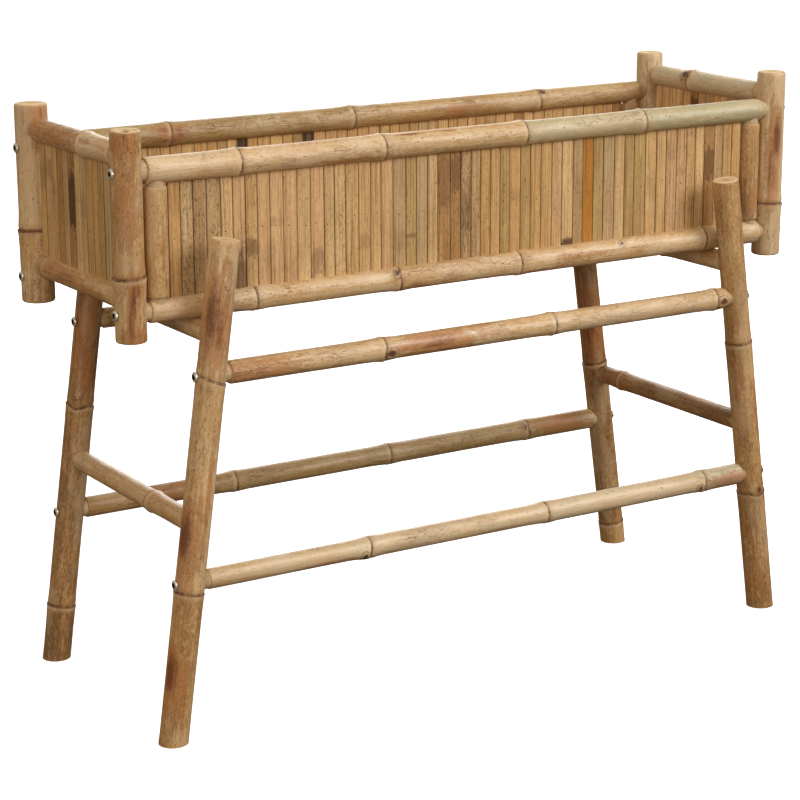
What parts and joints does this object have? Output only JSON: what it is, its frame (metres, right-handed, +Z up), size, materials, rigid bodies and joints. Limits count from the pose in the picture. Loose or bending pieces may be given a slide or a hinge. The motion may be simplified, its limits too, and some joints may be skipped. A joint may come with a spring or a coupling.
{
  "type": "elevated planter",
  "caption": "Raised bamboo trough planter: slatted box between round corner posts, resting on a splayed-leg bamboo stand with stretchers; the box lifts off.",
  "frame": {"origin": "on the floor at the middle of the footprint", "axes": "+X along the trough's length, +Y towards the back, +Z up"},
  "size_m": [1.008, 0.3844, 0.745],
  "materials": {
    "culm": "natural satin bamboo skin",
    "split_slat": "matt split bamboo",
    "floor_strip": "matt split bamboo",
    "plated_screw": "bright nickel plate"
  },
  "bodies": {
    "stand": {"leg_front_left": "culm", "leg_front_right": "culm", "leg_back_left": "culm", "leg_back_right": "culm", "stretcher_upper_front": "culm", "stretcher_upper_back": "culm", "stretcher_lower_front": "culm", "stretcher_lower_back": "culm", "side_stretcher_left": "culm", "side_stretcher_right": "culm", "bearer_left": "culm", "bearer_right": "culm", "stand_screws": "plated_screw"},
    "planter_box": {"corner_post_front_left": "culm", "corner_post_front_right": "culm", "corner_post_back_left": "culm", "corner_post_back_right": "culm", "top_rail_front": "culm", "top_rail_back": "culm", "top_rail_left": "culm", "top_rail_right": "culm", "bottom_rail_front": "culm", "bottom_rail_back": "culm", "bottom_rail_left": "culm", "bottom_rail_right": "culm", "upright_front_left": "culm", "upright_front_right": "culm", "upright_back_left": "culm", "upright_back_right": "culm", "wall_slats_front": "split_slat", "wall_slats_back": "split_slat", "wall_slats_left": "split_slat", "wall_slats_right": "split_slat", "batten_front": "split_slat", "batten_back": "split_slat", "batten_left": "split_slat", "batten_right": "split_slat", "floor_slats": "floor_strip", "box_screws": "plated_screw"}
  },
  "joints": [
    {"name": "box_lift", "type": "slide", "parent": "stand", "child": "planter_box", "axis": [0, 0, 1], "range_m": [0, 0.13]}
  ]
}
